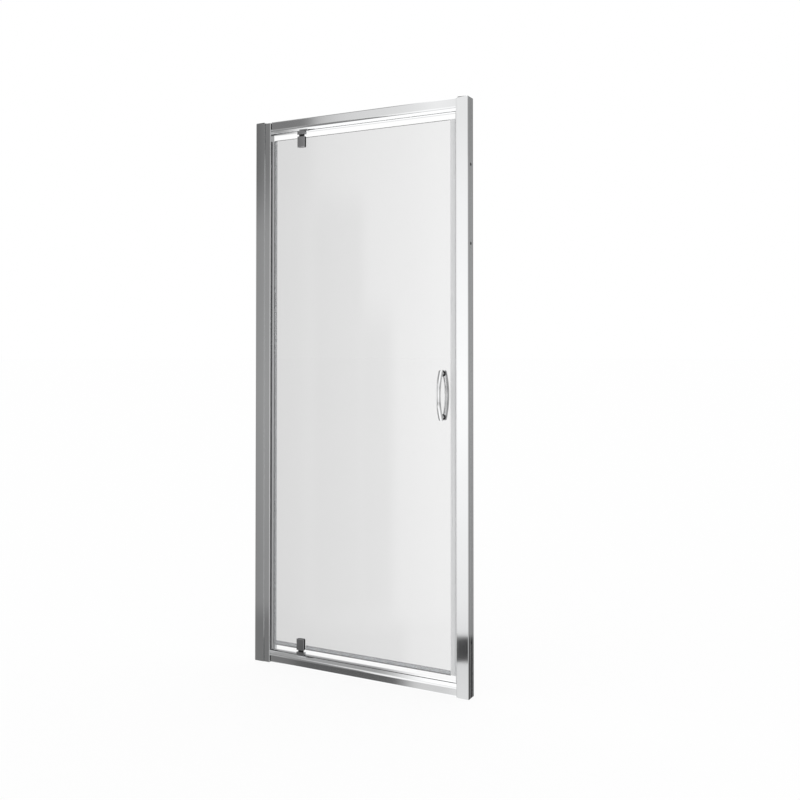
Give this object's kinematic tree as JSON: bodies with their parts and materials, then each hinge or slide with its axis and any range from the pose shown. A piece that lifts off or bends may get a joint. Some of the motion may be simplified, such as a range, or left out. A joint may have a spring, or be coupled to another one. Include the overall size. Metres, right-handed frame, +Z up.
{
  "type": "pivot shower door",
  "caption": "Framed pivot shower door: one clear glass leaf on corner pivots, with bow handles, magnetic seals and wall channels that adjust in width.",
  "frame": {"origin": "on the tray under the bottom rail, at the middle of the frame's width and of the glass's thickness", "axes": "+X along the width from the hinge side to the latch side, +Y into the shower, +Z up"},
  "size_m": [0.8, 0.074, 1.85],
  "materials": {
    "chrome_aluminium": "bright polished",
    "chrome_fitting": "mirror polished",
    "toughened_glass": "clear, polished edges",
    "clear_seal": "clear flexible PVC",
    "grey_seal": "grey flexible PVC",
    "magnet_rubber": "matt",
    "gasket_rubber": "matt",
    "dark_plastic": "glass-filled nylon, moulded",
    "cap_plastic": "moulded, smooth",
    "screw_steel": "stainless"
  },
  "bodies": {
    "left_channel": {"wall_channel_left": "chrome_aluminium", "channel_cap_left": "cap_plastic"},
    "frame": {"hinge_post": "chrome_aluminium", "latch_post": "chrome_aluminium", "hinge_post_plug": "cap_plastic", "latch_post_plug": "cap_plastic", "bottom_rail": "chrome_aluminium", "top_rail": "chrome_aluminium", "corner_blocks_bottom": "dark_plastic", "corner_blocks_top": "dark_plastic", "corner_screws": "screw_steel", "channel_lock_screws_left": "screw_steel", "channel_lock_screws_right": "screw_steel", "pivot_block_bottom": "chrome_fitting", "pivot_block_top": "chrome_fitting", "pivot_bush_bottom": "dark_plastic", "pivot_bush_top": "dark_plastic", "pivot_block_screws": "screw_steel", "frame_magnetic_seal": "grey_seal", "frame_magnet_strip": "magnet_rubber"},
    "right_channel": {"wall_channel_right": "chrome_aluminium", "channel_cap_right": "cap_plastic"},
    "door": {"glass_panel": "toughened_glass", "pivot_pin_bottom": "screw_steel", "pivot_pin_top": "screw_steel", "clamp_front_bottom": "dark_plastic", "clamp_back_bottom": "chrome_fitting", "clamp_front_top": "dark_plastic", "clamp_back_top": "chrome_fitting", "clamp_cover_bottom": "chrome_fitting", "clamp_cover_top": "chrome_fitting", "clamp_gaskets_bottom": "gasket_rubber", "clamp_gaskets_top": "gasket_rubber", "clamp_screws": "screw_steel", "hinge_edge_seal": "clear_seal", "door_magnetic_seal": "grey_seal", "door_magnet_strip": "magnet_rubber", "drip_seal_hinge_side": "clear_seal", "drip_seal_latch_side": "clear_seal", "handle_outer": "chrome_fitting", "handle_inner": "chrome_fitting", "handle_washers": "dark_plastic", "handle_sleeves": "clear_seal", "handle_studs": "screw_steel", "handle_grub_screws": "screw_steel"}
  },
  "joints": [
    {"name": "left_adjust", "type": "slide", "parent": "left_channel", "child": "frame", "axis": [1, 0, 0], "range_m": [-0.018, 0.002]},
    {"name": "right_adjust", "type": "slide", "parent": "frame", "child": "right_channel", "axis": [1, 0, 0], "range_m": [-0.001, 0.019]},
    {"name": "door_pivot", "type": "hinge", "parent": "frame", "child": "door", "pos_m": [-0.218, -0.008, 0], "axis": [0, 0, -1], "range_deg": [0, 100]}
  ]
}
